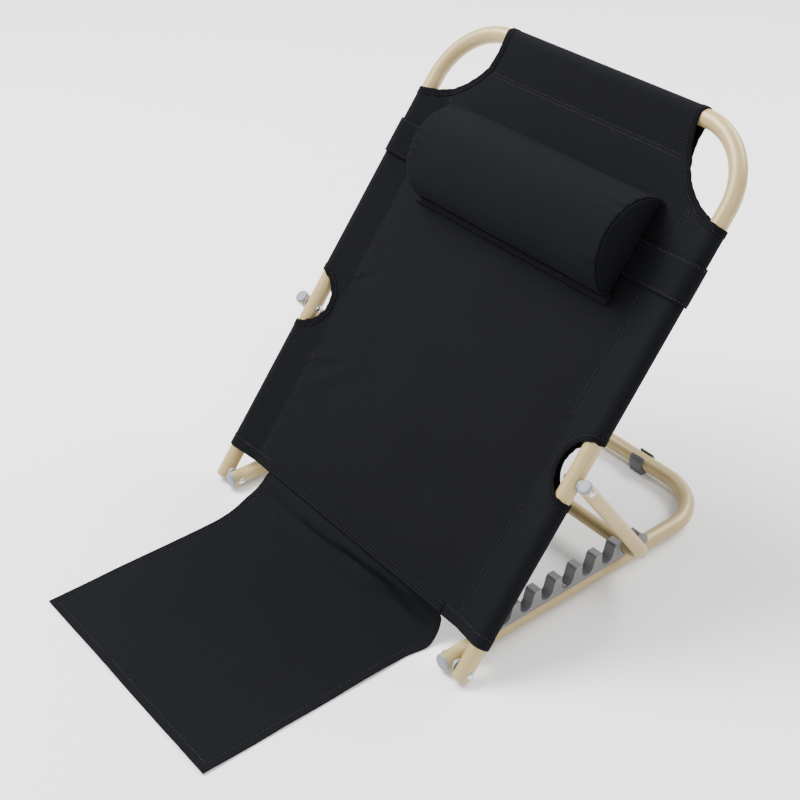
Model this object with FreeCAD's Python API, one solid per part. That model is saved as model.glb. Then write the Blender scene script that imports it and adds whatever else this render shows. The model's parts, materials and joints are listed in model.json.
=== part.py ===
import FreeCAD, Part
import math
import os

# Folding backrest for a bed, floor or lawn, in millimetres.
# X runs across, Y to the rear and Z up. The origin is on the floor, under the middle of the
# whole outline. Three bent steel tubes make the frame: a base U that lies on the floor, a back
# U that hinges on its front ends, and a prop U that hangs on the back and drops its crossbar
# into a notch of the two racks on the base. A cloth sling covers the back and a cloth flap
# lies in front of it as the seat.

# ---- driving dimensions ----
TUBE_R = 9.5
TUBE_WALL = 1.2
PROP_R = 8.0
PROP_WALL = 1.0

BACK_ANGLE = 52.2
BACK_HALF = 219.0
BACK_LENGTH = 604.0
BACK_BEND = 75.0
BACK_TAIL = 11.0

BASE_HALF = 196.0
BASE_DEPTH = 403.8
BASE_BEND = 66.0
BASE_NOSE = 12.0
PIVOT_Z = 13.5

PROP_HALF = 238.5
PROP_BEND = 45.0
PROP_MOUNT = 225.4
PROP_LENGTH = 195.1
PROP_ANGLE = -53.9
PROP_TAIL = 8.6

FLAP_REACH = 275.6
FLAP_HALF = 155.4
FLAP_CLOTH = 1.5
FLAP_SLOPE = 37.0
FLAP_CURVE = 100.0

GLIDE_X = 87.5
GLIDE_WIDTH = 19.5
GLIDE_WALL = 3.2
GLIDE_MOUTH = 7.1

RACK_THICK = 14.0
RACK_TOP = 44.4
RACK_FLOOR = 24.5
RACK_SKIRT = 20.1
NOTCH_PITCH = 30.56
NOTCH_COUNT = 7
NOTCH_R = 8.6
NOTCH_MOUTH = 19.8
TOOTH_LEAN = 12.0
TOOTH_DRAFT = 0.8
TOOTH_BEVEL = 3.0
LIP_INSET = 0.6
LIP_REACH = 1.5
NOSE_TOP = 34.0
NOSE_STEP = 6.0
NOSE_FLAT = 3.0
NOSE_LENGTH = 12.0
TAB_REACH = 39.5
TAB_RIVET_BACK = 9.0
RIVETED_NOTCH = 3

CAP_FLANGE = 3.0
CAP_ROUND = 2.8
CAP_PLUG = 4.5
PROP_CAP_PLUG = 2.4
RIVET_R = 3.0
RIVET_HEAD = 4.3
RIVET_DOME_R = 5.4
RACK_RIVET_R = 2.0
RACK_RIVET_HEAD = 3.0
RACK_RIVET_RISE = 1.0
WASHER_R = 6.5
SEAT_GAP = 0.05
WASHER_GAP = 0.15
RUNNING_GAP = 0.05
FIT_GAP = 0.02

CLOTH = 1.1
CLOTH_GAP = 0.35
HEM_START = 30.7
HEM_END = 45.0
SIDE_SEAM = 183.5
TOP_SEAM = 562.0
CORNER_CUT_R = 92.0
CORNER_CUT_X = 234.0
CORNER_CUT_S = 603.0
SIDE_CUT_R = 34.5
SIDE_CUT_X = 230.0
SIDE_CUT_S = 236.0
SEAM_LAP = 2.0
BINDING = 8.0
CUT_REACH = 40.0

PILLOW_HALF = 152.0
PILLOW_R = 57.0
PILLOW_S = 456.0
PILLOW_COVER = 1.6
PILLOW_GAP = 0.2
STRAP_S = 449.2
STRAP_WIDTH = 43.0
STRAP_CLOTH = 1.2
STRAP_GAP = 0.3

# ---- places worked out from them ----
GLIDE_R = TUBE_R + GLIDE_WALL
PIVOT_Y = (FLAP_REACH - BASE_DEPTH - GLIDE_R) / 2
SIDES = {"left": -1, "right": 1}
X_AXIS = FreeCAD.Vector(1, 0, 0)
Y_AXIS = FreeCAD.Vector(0, 1, 0)
Z_AXIS = FreeCAD.Vector(0, 0, 1)


def vec(x, y, z):
    return FreeCAD.Vector(x, y, z)


def save(node, solids):
    shape = solids[0] if len(solids) == 1 else Part.makeCompound(solids)
    shape.exportStep("parts/" + node + ".step")


def box(low, high):
    size = high - low
    return Part.makeBox(size.x, size.y, size.z, low)


def rod(radius, start, end):
    return Part.makeCylinder(radius, (end - start).Length, start, end - start)


def one_solid(shape):
    """The shape's only solid, with its split faces merged."""
    solids = shape.removeSplitter().Solids
    if len(solids) != 1:
        raise ValueError("expected one solid, found " + str(len(solids)))
    return solids[0]


def extruded(edges, direction):
    return Part.Face(Part.Wire(Part.__sortEdges__(edges))).extrude(direction)


def in_base_frame(shape):
    """Moves a shape made about the front pivot, on the floor, to its place."""
    shape.translate(vec(0, PIVOT_Y, 0))
    return shape


def in_back_frame(shape):
    """Moves a shape made flat (X across, Y up the back, Z out of its front) to its place."""
    shape.rotate(vec(0, 0, 0), X_AXIS, BACK_ANGLE)
    shape.translate(vec(0, PIVOT_Y, PIVOT_Z))
    return shape


def in_prop_frame(shape):
    """Moves a shape made flat (X across, Y down the prop from its pivots) to its place."""
    angle = math.radians(BACK_ANGLE)
    rise = vec(0, math.cos(angle), math.sin(angle)) * PROP_MOUNT
    shape.rotate(vec(0, 0, 0), X_AXIS, PROP_ANGLE)
    shape.translate(vec(0, PIVOT_Y, PIVOT_Z) + rise)
    return shape


# ---- tubes ----
def u_path(half, start, end, bend):
    """A U in the XY plane, open towards -Y, with its crossbar's centreline at Y = end."""
    edges = [Part.makeLine(vec(-half, start, 0), vec(-half, end - bend, 0))]
    for side in (-1, 1):
        centre = vec(side * (half - bend), end - bend, 0)
        low, high = (90, 180) if side < 0 else (0, 90)
        edges.append(Part.makeCircle(bend, centre, Z_AXIS, low, high))
    edges.append(Part.makeLine(vec(-half + bend, end, 0), vec(half - bend, end, 0)))
    edges.append(Part.makeLine(vec(half, end - bend, 0), vec(half, start, 0)))
    return Part.Wire(Part.__sortEdges__(edges))


def u_tube(half, start, end, bend, radius, wall):
    """A bent tube with open ends."""
    skins = []
    for r in (radius, radius - wall):
        ring = Part.Wire(Part.makeCircle(r, vec(-half, start, 0), Y_AXIS))
        skins.append(u_path(half, start, end, bend).makePipe(Part.Face(ring)))
    return skins[0].cut(skins[1])


def drilled(tube, half, stations, radius):
    """The tube with a hole right across both legs at each station along Y."""
    for y in stations:
        tube = tube.cut(rod(radius, vec(-half, y, 0), vec(half, y, 0)))
    return one_solid(tube)


def end_cap(x, y, radius, wall, plug_length):
    """A push-in cap for a tube end that faces -Y, with its outer face at Y = y."""
    bore = radius - wall - FIT_GAP
    flange = rod(radius, vec(x, y, 0), vec(x, y + CAP_FLANGE, 0))
    front = [e for e in flange.Edges if e.BoundBox.YMax < y + CAP_FLANGE / 2]
    flange = flange.makeFillet(CAP_ROUND, front)
    plug = rod(bore, vec(x, y + CAP_FLANGE, 0), vec(x, y + CAP_FLANGE + plug_length, 0))
    return one_solid(flange.fuse(plug))


def rivet(inner, outer, y, z, shank, head):
    """A rivet along X from inner to outer, with a domed head at each end."""
    side = 1 if outer > inner else -1
    shape = rod(shank, vec(inner, y, z), vec(outer, y, z))
    sink = math.sqrt(RIVET_DOME_R ** 2 - head ** 2)
    for x, way in ((inner, -side), (outer, side)):
        ball = Part.makeSphere(RIVET_DOME_R, vec(x - way * sink, y, z))
        reach = vec(x + way * RIVET_DOME_R, y, z)
        shape = shape.fuse(ball.common(rod(head, vec(x, y, z), reach)))
    return one_solid(shape)


def washer(x0, x1, y, z, hole, outer):
    return rod(outer, vec(x0, y, z), vec(x1, y, z)).cut(rod(hole, vec(x0, y, z), vec(x1, y, z)))


# ---- base ----
def base_frame():
    start = -BASE_NOSE + CAP_FLANGE
    tube = u_tube(BASE_HALF, start, BASE_DEPTH, BASE_BEND, TUBE_R, TUBE_WALL)
    tube = drilled(tube, BASE_HALF + TUBE_R, [0], RIVET_R + RUNNING_GAP)
    tube.translate(vec(0, 0, PIVOT_Z))
    return in_base_frame(tube)


def base_end_cap(side):
    cap = end_cap(side * BASE_HALF, -BASE_NOSE, TUBE_R, TUBE_WALL, CAP_PLUG)
    cap.translate(vec(0, 0, PIVOT_Z))
    return in_base_frame(cap)


def glide(side):
    """A clip-on foot: a ring open at its top, on a flat sole."""
    x0 = side * GLIDE_X - GLIDE_WIDTH / 2
    x1 = x0 + GLIDE_WIDTH
    mid = vec(0, BASE_DEPTH, PIVOT_Z)
    ring = rod(GLIDE_R, mid + vec(x0, 0, 0), mid + vec(x1, 0, 0))
    sole = box(vec(x0, BASE_DEPTH - TUBE_R, 0), vec(x1, BASE_DEPTH + TUBE_R, PIVOT_Z))
    shape = ring.fuse(sole)
    shape = shape.cut(rod(TUBE_R + FIT_GAP, mid + vec(x0, 0, 0), mid + vec(x1, 0, 0)))
    shape = shape.cut(box(mid + vec(x0, -GLIDE_MOUTH, 0), mid + vec(x1, GLIDE_MOUTH, GLIDE_R)))
    return in_base_frame(one_solid(shape))


def notch_y(index):
    """Where the prop's crossbar sits in a notch, counted from the rearmost one."""
    angle = math.radians(BACK_ANGLE)
    drop = math.radians(PROP_ANGLE)
    rear = PROP_MOUNT * math.cos(angle) + PROP_LENGTH * math.cos(drop)
    return rear - index * NOTCH_PITCH


def rack_outline():
    """The rack's side view, from its front nose over the teeth to the low rear tab."""
    ring_z = RACK_FLOOR + NOTCH_R
    nose = notch_y(NOTCH_COUNT - 1) - NOTCH_R
    edges = []
    at = vec(0, nose - NOSE_LENGTH, RACK_SKIRT)
    end = vec(0, notch_y(0) + TAB_REACH, RACK_SKIRT)

    def line_to(point):
        edges.append(Part.makeLine(at, point))
        return point

    at = line_to(at + vec(0, 0, NOSE_STEP))
    at = line_to(vec(0, nose - NOSE_FLAT, NOSE_TOP))
    at = line_to(vec(0, nose, NOSE_TOP))
    for index in reversed(range(NOTCH_COUNT)):
        y = notch_y(index)
        at = line_to(vec(0, y - NOTCH_R, ring_z))
        bottom = vec(0, y, RACK_FLOOR)
        if index == 0:
            edges.append(Part.Arc(at, arc_point(y, ring_z, (180 + 270) / 2), bottom).toShape())
            at = bottom
            break
        foot = arc_point(y, ring_z, 360 - TOOTH_LEAN)
        edges.append(Part.Arc(at, bottom, foot).toShape())
        at = foot
        mouth = y - NOTCH_R + NOTCH_MOUTH
        at = line_to(vec(0, mouth - LIP_INSET, RACK_TOP - TOOTH_BEVEL))
        at = line_to(vec(0, mouth + LIP_REACH, RACK_TOP))
        at = line_to(vec(0, notch_y(index - 1) - NOTCH_R - TOOTH_DRAFT, RACK_TOP))
    at = line_to(vec(0, end.y, RACK_FLOOR))
    at = line_to(end)
    at = line_to(vec(0, nose - NOSE_LENGTH, RACK_SKIRT))
    return edges


def arc_point(y, z, degrees):
    turn = math.radians(degrees)
    return vec(0, y + NOTCH_R * math.cos(turn), z + NOTCH_R * math.sin(turn))


def rack_rivet_stations():
    """The two rivets that hold a rack: on its rear tab and in a middle notch."""
    return [notch_y(0) + TAB_REACH - TAB_RIVET_BACK, notch_y(RIVETED_NOTCH)]


def rack(side):
    half = RACK_THICK / 2
    shape = extruded(rack_outline(), vec(RACK_THICK, 0, 0))
    shape.translate(vec(-half, 0, 0))
    tail = notch_y(0) + TAB_REACH
    corner = box(vec(-half - 1, tail - half, 0), vec(half + 1, tail + 1, RACK_TOP))
    corner = corner.cut(rod(half, vec(0, tail - half, 0), vec(0, tail - half, RACK_TOP)))
    shape = shape.cut(corner)
    rail = rod(TUBE_R + FIT_GAP, vec(0, -BASE_NOSE, PIVOT_Z), vec(0, BASE_DEPTH, PIVOT_Z))
    shape = shape.cut(rail)
    for y in rack_rivet_stations():
        shape = shape.cut(rod(RACK_RIVET_R + FIT_GAP, vec(0, y, 0), vec(0, y, RACK_TOP)))
        spot_face = rod(RACK_RIVET_HEAD + SEAT_GAP, vec(0, y, RACK_FLOOR), vec(0, y, RACK_TOP))
        shape = shape.cut(spot_face)
    shape.translate(vec(side * BASE_HALF, 0, 0))
    return in_base_frame(one_solid(shape))


def rack_rivets():
    """Blind rivets through the rack, seated on the rail's top wall."""
    solids = []
    for side in SIDES.values():
        for y in rack_rivet_stations():
            at = vec(side * BASE_HALF, y, PIVOT_Z + TUBE_R + SEAT_GAP)
            shank = rod(RACK_RIVET_R, at, vec(at.x, y, RACK_FLOOR))
            dome_r = (RACK_RIVET_HEAD ** 2 + RACK_RIVET_RISE ** 2) / (2 * RACK_RIVET_RISE)
            head = Part.makeSphere(dome_r, vec(at.x, y, RACK_FLOOR + RACK_RIVET_RISE - dome_r))
            cap = rod(RACK_RIVET_HEAD, vec(at.x, y, RACK_FLOOR), vec(at.x, y, RACK_TOP))
            solids.append(in_base_frame(one_solid(shank.fuse(head.common(cap)))))
    return solids


def seat_flap():
    """The cloth seat: flat on the floor, then up a gentle curve to just under the hem."""
    slope = math.radians(FLAP_SLOPE)
    angle = math.radians(BACK_ANGLE)
    top = vec(0, math.cos(angle), math.sin(angle)) * (HEM_START - CLOTH) + vec(0, 0, PIVOT_Z)
    run = vec(0, -math.cos(slope), -math.sin(slope))
    arc_drop = FLAP_CURVE * (1 - math.cos(slope))
    bend = top + run * ((top.z - arc_drop) / math.sin(slope))
    centre = bend + vec(0, -math.sin(slope), math.cos(slope)) * FLAP_CURVE

    def on_arc(radius, degrees):
        turn = math.radians(degrees)
        return centre + vec(0, math.sin(turn), -math.cos(turn)) * radius

    inner = FLAP_CURVE - FLAP_CLOTH
    lift = vec(0, 0, FLAP_CLOTH)
    front = vec(0, -FLAP_REACH, 0)
    upper_top = top + (on_arc(inner, FLAP_SLOPE) - bend)
    edges = [
        Part.makeLine(top, bend),
        Part.Arc(bend, on_arc(FLAP_CURVE, FLAP_SLOPE / 2), on_arc(FLAP_CURVE, 0)).toShape(),
        Part.makeLine(on_arc(FLAP_CURVE, 0), front),
        Part.makeLine(front, front + lift),
        Part.makeLine(front + lift, on_arc(inner, 0)),
        Part.Arc(on_arc(inner, 0), on_arc(inner, FLAP_SLOPE / 2), on_arc(inner, FLAP_SLOPE)).toShape(),
        Part.makeLine(on_arc(inner, FLAP_SLOPE), upper_top),
        Part.makeLine(upper_top, top),
    ]
    shape = extruded(edges, vec(2 * FLAP_HALF, 0, 0))
    shape.translate(vec(-FLAP_HALF, 0, 0))
    return in_base_frame(one_solid(shape))


# ---- front pivots ----
def front_pivot_rivet(side):
    inner = side * (BASE_HALF - TUBE_R - SEAT_GAP)
    outer = side * (BACK_HALF + TUBE_R + SEAT_GAP)
    return in_base_frame(rivet(inner, outer, 0, PIVOT_Z, RIVET_R, RIVET_HEAD))


def front_pivot_washer(side):
    x0 = side * (BASE_HALF + TUBE_R + WASHER_GAP)
    x1 = side * (BACK_HALF - TUBE_R - WASHER_GAP)
    return in_base_frame(washer(x0, x1, 0, PIVOT_Z, RIVET_R + RUNNING_GAP, WASHER_R))


# ---- back ----
def back_frame():
    start = -BACK_TAIL + CAP_FLANGE
    tube = u_tube(BACK_HALF, start, BACK_LENGTH, BACK_BEND, TUBE_R, TUBE_WALL)
    reach = BACK_HALF + TUBE_R
    tube = drilled(tube, reach, [0, PROP_MOUNT], RIVET_R + RUNNING_GAP)
    return in_back_frame(tube)


def back_foot_cap(side):
    return in_back_frame(end_cap(side * BACK_HALF, -BACK_TAIL, TUBE_R, TUBE_WALL, CAP_PLUG))


def wrap(seam, centre, radius, front):
    """The cloth on one face of a sleeve, as points and arcs in the (u, n) plane.

    It leaves the seam on the panel's plane, runs straight to the tube and, on the front,
    goes on round the tube's outer side to its back.
    """
    way = 1 if centre > seam else -1
    sign = 1 if front else -1
    outer = radius + CLOTH
    tilt_in = math.asin(radius / abs(centre - seam))
    tilt_out = math.asin(outer / abs(centre - seam))

    def on(r, turn):
        return vec(centre + way * r * math.sin(turn), 0, sign * r * math.cos(turn))

    start = vec(seam, 0, 0)
    if front:
        stop = math.pi
        middle_in = (stop - tilt_in) / 2
        middle_out = (stop - tilt_out) / 2
        return [
            Part.makeLine(start, on(radius, -tilt_in)),
            Part.Arc(on(radius, -tilt_in), on(radius, middle_in), on(radius, stop)).toShape(),
            Part.makeLine(on(radius, stop), on(outer, stop)),
            Part.Arc(on(outer, stop), on(outer, middle_out), on(outer, -tilt_out)).toShape(),
            Part.makeLine(on(outer, -tilt_out), start),
        ]
    return [
        Part.makeLine(start, on(radius, -tilt_in)),
        Part.Arc(on(radius, -tilt_in), on(radius, -tilt_in / 2), on(radius, 0)).toShape(),
        Part.makeLine(on(radius, 0), on(outer, 0)),
        Part.Arc(on(outer, 0), on(outer, -tilt_out / 2), on(outer, -tilt_out)).toShape(),
        Part.makeLine(on(outer, -tilt_out), start),
    ]


def side_layer(side, low, high, front):
    seam = side * SIDE_SEAM
    edges = wrap(seam, side * BACK_HALF, TUBE_R + CLOTH_GAP, front)
    shape = extruded(edges, vec(0, high - low, 0))
    shape.translate(vec(0, low, 0))
    return shape


def top_layer(front):
    """The same section round the top tube, run across the back."""
    edges = wrap(TOP_SEAM, BACK_LENGTH, TUBE_R + CLOTH_GAP, front)
    half = BACK_HALF - BACK_BEND
    shape = extruded(edges, vec(0, 2 * half, 0))
    shape.rotate(vec(0, 0, 0), Z_AXIS, 90)
    shape.translate(vec(half, 0, 0))
    return shape


def cut_rods(extra):
    """The four cut-outs as upright rods: two at the top corners, two at the sides."""
    rods = []
    for side in SIDES.values():
        for x, s, r in (
            (CORNER_CUT_X, CORNER_CUT_S, CORNER_CUT_R),
            (SIDE_CUT_X, SIDE_CUT_S, SIDE_CUT_R),
        ):
            rods.append(rod(r + extra, vec(side * x, s, -CUT_REACH), vec(side * x, s, CUT_REACH)))
    return rods


def all_cut(shape, tools):
    for tool in tools:
        shape = shape.cut(tool)
    return shape


def panel():
    """The flat cloth between the seams, with a little to spare to join the sleeves."""
    half = SIDE_SEAM + SEAM_LAP
    return box(vec(-half, HEM_START, -CLOTH / 2), vec(half, TOP_SEAM + SEAM_LAP, CLOTH / 2))


def whole_sling():
    """The sling's face: panel, side fronts wrapped round the tubes, and top front."""
    top = CORNER_CUT_S - CORNER_CUT_R / 2
    shape = panel()
    for side in SIDES.values():
        shape = shape.fuse(side_layer(side, HEM_START, top, True))
    return shape.fuse(top_layer(True))


def sling_pieces():
    """Splits the sling into its panel, its bottom hem and the tapes that bind the cut-outs."""
    whole = all_cut(whole_sling(), cut_rods(0))
    taped = all_cut(whole, cut_rods(BINDING))
    tapes = [s for s in whole.cut(taped).Solids if s.Volume > 1]
    half = BACK_HALF + CUT_REACH
    hem_zone = box(vec(-half, 0, -CUT_REACH), vec(half, HEM_END, CUT_REACH))
    hem = taped.common(hem_zone)
    face = taped.cut(hem_zone)
    return {
        "sling": [in_back_frame(s) for s in face.Solids],
        "sling_hem": [in_back_frame(s) for s in hem.Solids],
        "cutout_tapes": [in_back_frame(s) for s in tapes],
    }


def sleeve_back(side, low, high):
    """The cloth turned back behind a side tube, between two stations up the back."""
    layer = all_cut(side_layer(side, low, high, False).cut(panel()), cut_rods(0))
    return in_back_frame(one_solid(layer))


def top_sleeve_back():
    """The cloth turned back behind the top tube."""
    layer = all_cut(top_layer(False).cut(panel()), cut_rods(0))
    return in_back_frame(one_solid(layer))


# ---- prop ----
def prop_frame():
    start = -PROP_TAIL + CAP_FLANGE
    tube = u_tube(PROP_HALF, start, PROP_LENGTH, PROP_BEND, PROP_R, PROP_WALL)
    tube = drilled(tube, PROP_HALF + PROP_R, [0], RIVET_R + RUNNING_GAP)
    return in_prop_frame(tube)


def prop_end_cap(side):
    return in_prop_frame(end_cap(side * PROP_HALF, -PROP_TAIL, PROP_R, PROP_WALL, PROP_CAP_PLUG))


def prop_pivot_rivet(side):
    inner = side * (BACK_HALF - TUBE_R - SEAT_GAP)
    outer = side * (PROP_HALF + PROP_R + SEAT_GAP)
    return in_back_frame(rivet(inner, outer, PROP_MOUNT, 0, RIVET_R, RIVET_HEAD))


def prop_pivot_washer(side):
    x0 = side * (BACK_HALF + TUBE_R + WASHER_GAP)
    x1 = side * (PROP_HALF - PROP_R - WASHER_GAP)
    return in_back_frame(washer(x0, x1, PROP_MOUNT, 0, RIVET_R + FIT_GAP, WASHER_R))


# ---- pillow ----
def pillow_base():
    """How far the pillow's flat back stands in front of the sling's middle plane."""
    return CLOTH / 2 + STRAP_GAP + STRAP_CLOTH


def bolster(inset):
    """A half-round bolster lying across the back, smaller all round by inset."""
    r = PILLOW_R - inset
    floor = pillow_base() + inset
    half = PILLOW_HALF - inset
    shape = rod(r, vec(-half, PILLOW_S, floor), vec(half, PILLOW_S, floor))
    keep = box(vec(-half, PILLOW_S - r, floor), vec(half, PILLOW_S + r, floor + r))
    return shape.common(keep)


def pillow_cover():
    return in_back_frame(one_solid(bolster(0).cut(bolster(PILLOW_COVER))))


def pillow_core():
    return in_back_frame(one_solid(bolster(PILLOW_COVER + PILLOW_GAP)))


def strap_r():
    """The radius of the strap's inner face round a side tube's sleeve."""
    return TUBE_R + CLOTH_GAP + CLOTH + STRAP_GAP


def strap_side(side, r):
    """One end of the strap's loop, round a sleeve: its foot by the pillow and its arc's points."""
    foot = vec(side * PILLOW_HALF, 0, pillow_base() - (r - strap_r()))
    reach = vec(side * BACK_HALF, 0, 0) - foot
    across = math.hypot(reach.x, reach.z)
    lean = math.atan2(-reach.z, abs(reach.x)) + math.asin(r / across)
    front = vec(side * (BACK_HALF - r * math.sin(lean)), 0, r * math.cos(lean))
    outer = vec(side * (BACK_HALF + r), 0, 0)
    back = vec(side * BACK_HALF, 0, -r)
    return foot, front, outer, back


def strap_loop(r):
    """The closed loop of the strap's inner (or outer) face in the flat frame's XZ plane."""
    left_foot, left_front, left_outer, left_back = strap_side(-1, r)
    right_foot, right_front, right_outer, right_back = strap_side(1, r)
    edges = [
        Part.makeLine(left_foot, right_foot),
        Part.makeLine(right_foot, right_front),
        Part.Arc(right_front, right_outer, right_back).toShape(),
        Part.makeLine(right_back, left_back),
        Part.Arc(left_back, left_outer, left_front).toShape(),
        Part.makeLine(left_front, left_foot),
    ]
    return extruded(edges, vec(0, STRAP_WIDTH, 0))


def pillow_strap():
    shape = strap_loop(strap_r() + STRAP_CLOTH).cut(strap_loop(strap_r()))
    shape.translate(vec(0, STRAP_S - STRAP_WIDTH / 2, 0))
    return in_back_frame(one_solid(shape))


def main():
    os.makedirs("parts", exist_ok=True)
    save("base_frame", [base_frame()])
    save("back_frame", [back_frame()])
    save("prop_frame", [prop_frame()])
    for name, side in SIDES.items():
        save("base_end_cap_" + name, [base_end_cap(side)])
        save("back_foot_cap_" + name, [back_foot_cap(side)])
        save("prop_end_cap_" + name, [prop_end_cap(side)])
        save("rack_" + name, [rack(side)])
        save("glide_" + name, [glide(side)])
        save("lower_sleeve_back_" + name, [sleeve_back(side, HEM_START, SIDE_CUT_S)])
        save("upper_sleeve_back_" + name, [sleeve_back(side, SIDE_CUT_S, CORNER_CUT_S)])
    sides = SIDES.values()
    save("rack_rivets", rack_rivets())
    save("front_pivot_rivets", [front_pivot_rivet(side) for side in sides])
    save("front_pivot_washers", [front_pivot_washer(side) for side in sides])
    save("prop_pivot_rivets", [prop_pivot_rivet(side) for side in sides])
    save("prop_pivot_washers", [prop_pivot_washer(side) for side in sides])
    save("seat_flap", [seat_flap()])
    for node, solids in sling_pieces().items():
        save(node, solids)
    save("top_sleeve_back", [top_sleeve_back()])
    save("pillow_cover", [pillow_cover()])
    save("pillow_core", [pillow_core()])
    save("pillow_strap", [pillow_strap()])


main()
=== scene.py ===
import json
import math

import bmesh
import bpy
import numpy as np
from mathutils import Matrix, Vector, geometry, kdtree


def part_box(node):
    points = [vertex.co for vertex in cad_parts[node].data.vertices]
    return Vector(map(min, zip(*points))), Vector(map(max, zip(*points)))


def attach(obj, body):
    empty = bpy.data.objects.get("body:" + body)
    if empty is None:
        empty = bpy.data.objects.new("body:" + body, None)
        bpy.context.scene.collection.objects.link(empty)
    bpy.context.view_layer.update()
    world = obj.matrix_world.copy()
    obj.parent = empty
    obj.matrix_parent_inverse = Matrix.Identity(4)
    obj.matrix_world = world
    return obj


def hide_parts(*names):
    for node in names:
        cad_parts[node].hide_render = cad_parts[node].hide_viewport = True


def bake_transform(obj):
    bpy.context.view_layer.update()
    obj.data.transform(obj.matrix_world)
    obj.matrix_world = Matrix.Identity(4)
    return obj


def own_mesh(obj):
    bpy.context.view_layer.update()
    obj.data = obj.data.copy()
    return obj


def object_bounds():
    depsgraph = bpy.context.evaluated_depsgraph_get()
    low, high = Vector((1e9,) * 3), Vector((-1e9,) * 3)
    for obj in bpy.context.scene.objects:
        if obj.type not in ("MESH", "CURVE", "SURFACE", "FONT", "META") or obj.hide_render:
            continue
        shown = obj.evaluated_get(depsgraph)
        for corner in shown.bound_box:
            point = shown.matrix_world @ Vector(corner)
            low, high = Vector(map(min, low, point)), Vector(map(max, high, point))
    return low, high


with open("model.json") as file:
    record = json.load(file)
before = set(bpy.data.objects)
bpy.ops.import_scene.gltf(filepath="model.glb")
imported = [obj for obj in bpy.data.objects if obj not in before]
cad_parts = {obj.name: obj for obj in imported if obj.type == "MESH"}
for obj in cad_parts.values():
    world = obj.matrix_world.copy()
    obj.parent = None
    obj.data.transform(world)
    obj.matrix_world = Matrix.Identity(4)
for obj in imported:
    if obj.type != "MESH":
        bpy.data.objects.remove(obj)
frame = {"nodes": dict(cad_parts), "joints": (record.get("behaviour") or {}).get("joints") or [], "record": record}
cad_low, cad_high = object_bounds()

# A folding bed backrest, in metres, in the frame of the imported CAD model: X across, Y to the
# rear, Z up. The tubes, caps, rivets, racks and glides are the CAD nodes with finished
# materials. The sling, its edges and stitching, the seat flap, the pillow and its strap are
# built here around them.

# ---- sizes of the cloth parts ----
SIDES = (("left", -1), ("right", 1))
CLOTH = 0.0011
CLOTH_GAP = 0.00035
SIDE_SEAM = 0.1835
TOP_SEAM = 0.562
SEAM_ALLOWANCE = 0.008
CORNER_CUT_R = 0.092
CORNER_CUT_X = 0.234
CORNER_CUT_UP = 0.603
SIDE_CUT_R = 0.0345
SIDE_CUT_X = 0.230
SIDE_CUT_UP = 0.236
TAPE_WIDTH = 0.008
TAPE_LIFT = 0.0011
TAPE_ROW = TAPE_WIDTH * 0.78
HEM_WIDTH = 0.0145
HEM_LIFT = 0.0010
BAND_LIFT = 0.0021
SPLIT_TURN = math.radians(188)
LINING_TURN = math.radians(268)
SEAM_STOP_LOW = 0.056
SEAM_STOP_HIGH = 0.045
PANEL_SPACING = 0.0045
SLEEVE_SPACING = 0.0022
ROW_SPACING = 0.0027
EDGE_CLEARANCE = 0.0012
SLACK_HEIGHT = 0.0007
PUCKER_HEIGHT = 0.00022
PUCKER_PITCH = 0.0105
PUCKER_REACH = 0.006
# The creases beside each side cut-out: across, up, degrees, length, width, height.
CREASES = (
    (0.170, SIDE_CUT_UP + 0.048, -35, 0.018, 0.0036, -0.0016),
    (0.176, SIDE_CUT_UP + 0.036, 10, 0.014, 0.0034, -0.0010),
    (0.164, SIDE_CUT_UP - 0.055, -25, 0.024, 0.0050, 0.0019),
    (0.174, SIDE_CUT_UP - 0.043, 15, 0.016, 0.0040, -0.0010),
    (0.145, SIDE_CUT_UP - 0.074, -40, 0.034, 0.0080, 0.0020),
)

BAR_TACK = 0.007
STITCH_LENGTH = 0.0027
STITCH_PITCH = 0.0038
STITCH_WIDTH = 0.00055
STITCH_HEIGHT = 0.00035

FLAP_THICKNESS = 0.0014
FLAP_HEM = 0.0085
FLAP_JOIN_Z = 0.020
FLAP_HEM_Z = 0.0360

PILLOW_VOXEL = 0.0040
PILLOW_SWELL = 0.0035
PILLOW_PRESSURE = 4.0
PILLOW_FRAMES = 20
PILLOW_INSET = 0.0014
LIP_REACH = 0.0048
LIP_HEIGHT = 0.0019
LIP_LIFT = 0.0015
STRAP_CLOTH = 0.0012
STRAP_SEAM = 0.0026
STRAP_LIFT = 0.0022
STRAP_LIFT_FLAT = 0.0024

# ---- places read from the frame ----
joints = {joint["name"]: joint for joint in frame["joints"]}
ACROSS = np.array([1.0, 0.0, 0.0])
PIVOT = np.array(joints["back_fold"]["pos_m"])
UP = np.array(joints["pillow_slide"]["axis"])
UP = UP / np.linalg.norm(UP)
OUT = np.cross(ACROSS, UP)


def span(node, direction):
    """Nearest and furthest reach of a CAD node along a direction, from the front pivot."""
    points = np.array([v.co for v in frame["nodes"][node].data.vertices])
    reach = (points - PIVOT) @ direction
    return reach.min(), reach.max()


foot_low, foot_high = span("back_foot_cap_right", ACROSS)
TUBE_X = (foot_low + foot_high) / 2
TUBE_R = (foot_high - foot_low) / 2
TOP_TUBE_UP = span("back_frame", UP)[1] - TUBE_R
HEM_UP = span("sling_hem", UP)[0]
FLAP_HALF = span("seat_flap", ACROSS)[1]
FLAP_FRONT_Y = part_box("seat_flap")[0].y
PILLOW_HALF = span("pillow_cover", ACROSS)[1]
pillow_span = span("pillow_cover", UP)
PILLOW_UP = sum(pillow_span) / 2
PILLOW_R = (pillow_span[1] - pillow_span[0]) / 2
PILLOW_BACK = span("pillow_cover", OUT)[0]
strap_span = span("pillow_strap", UP)


def on_back(across, up, out):
    """Points of the back's own coordinates (arrays, or one number for all), in the frame."""
    return PIVOT + np.outer(across, ACROSS) + np.outer(up, UP) + np.outer(out, OUT)


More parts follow.
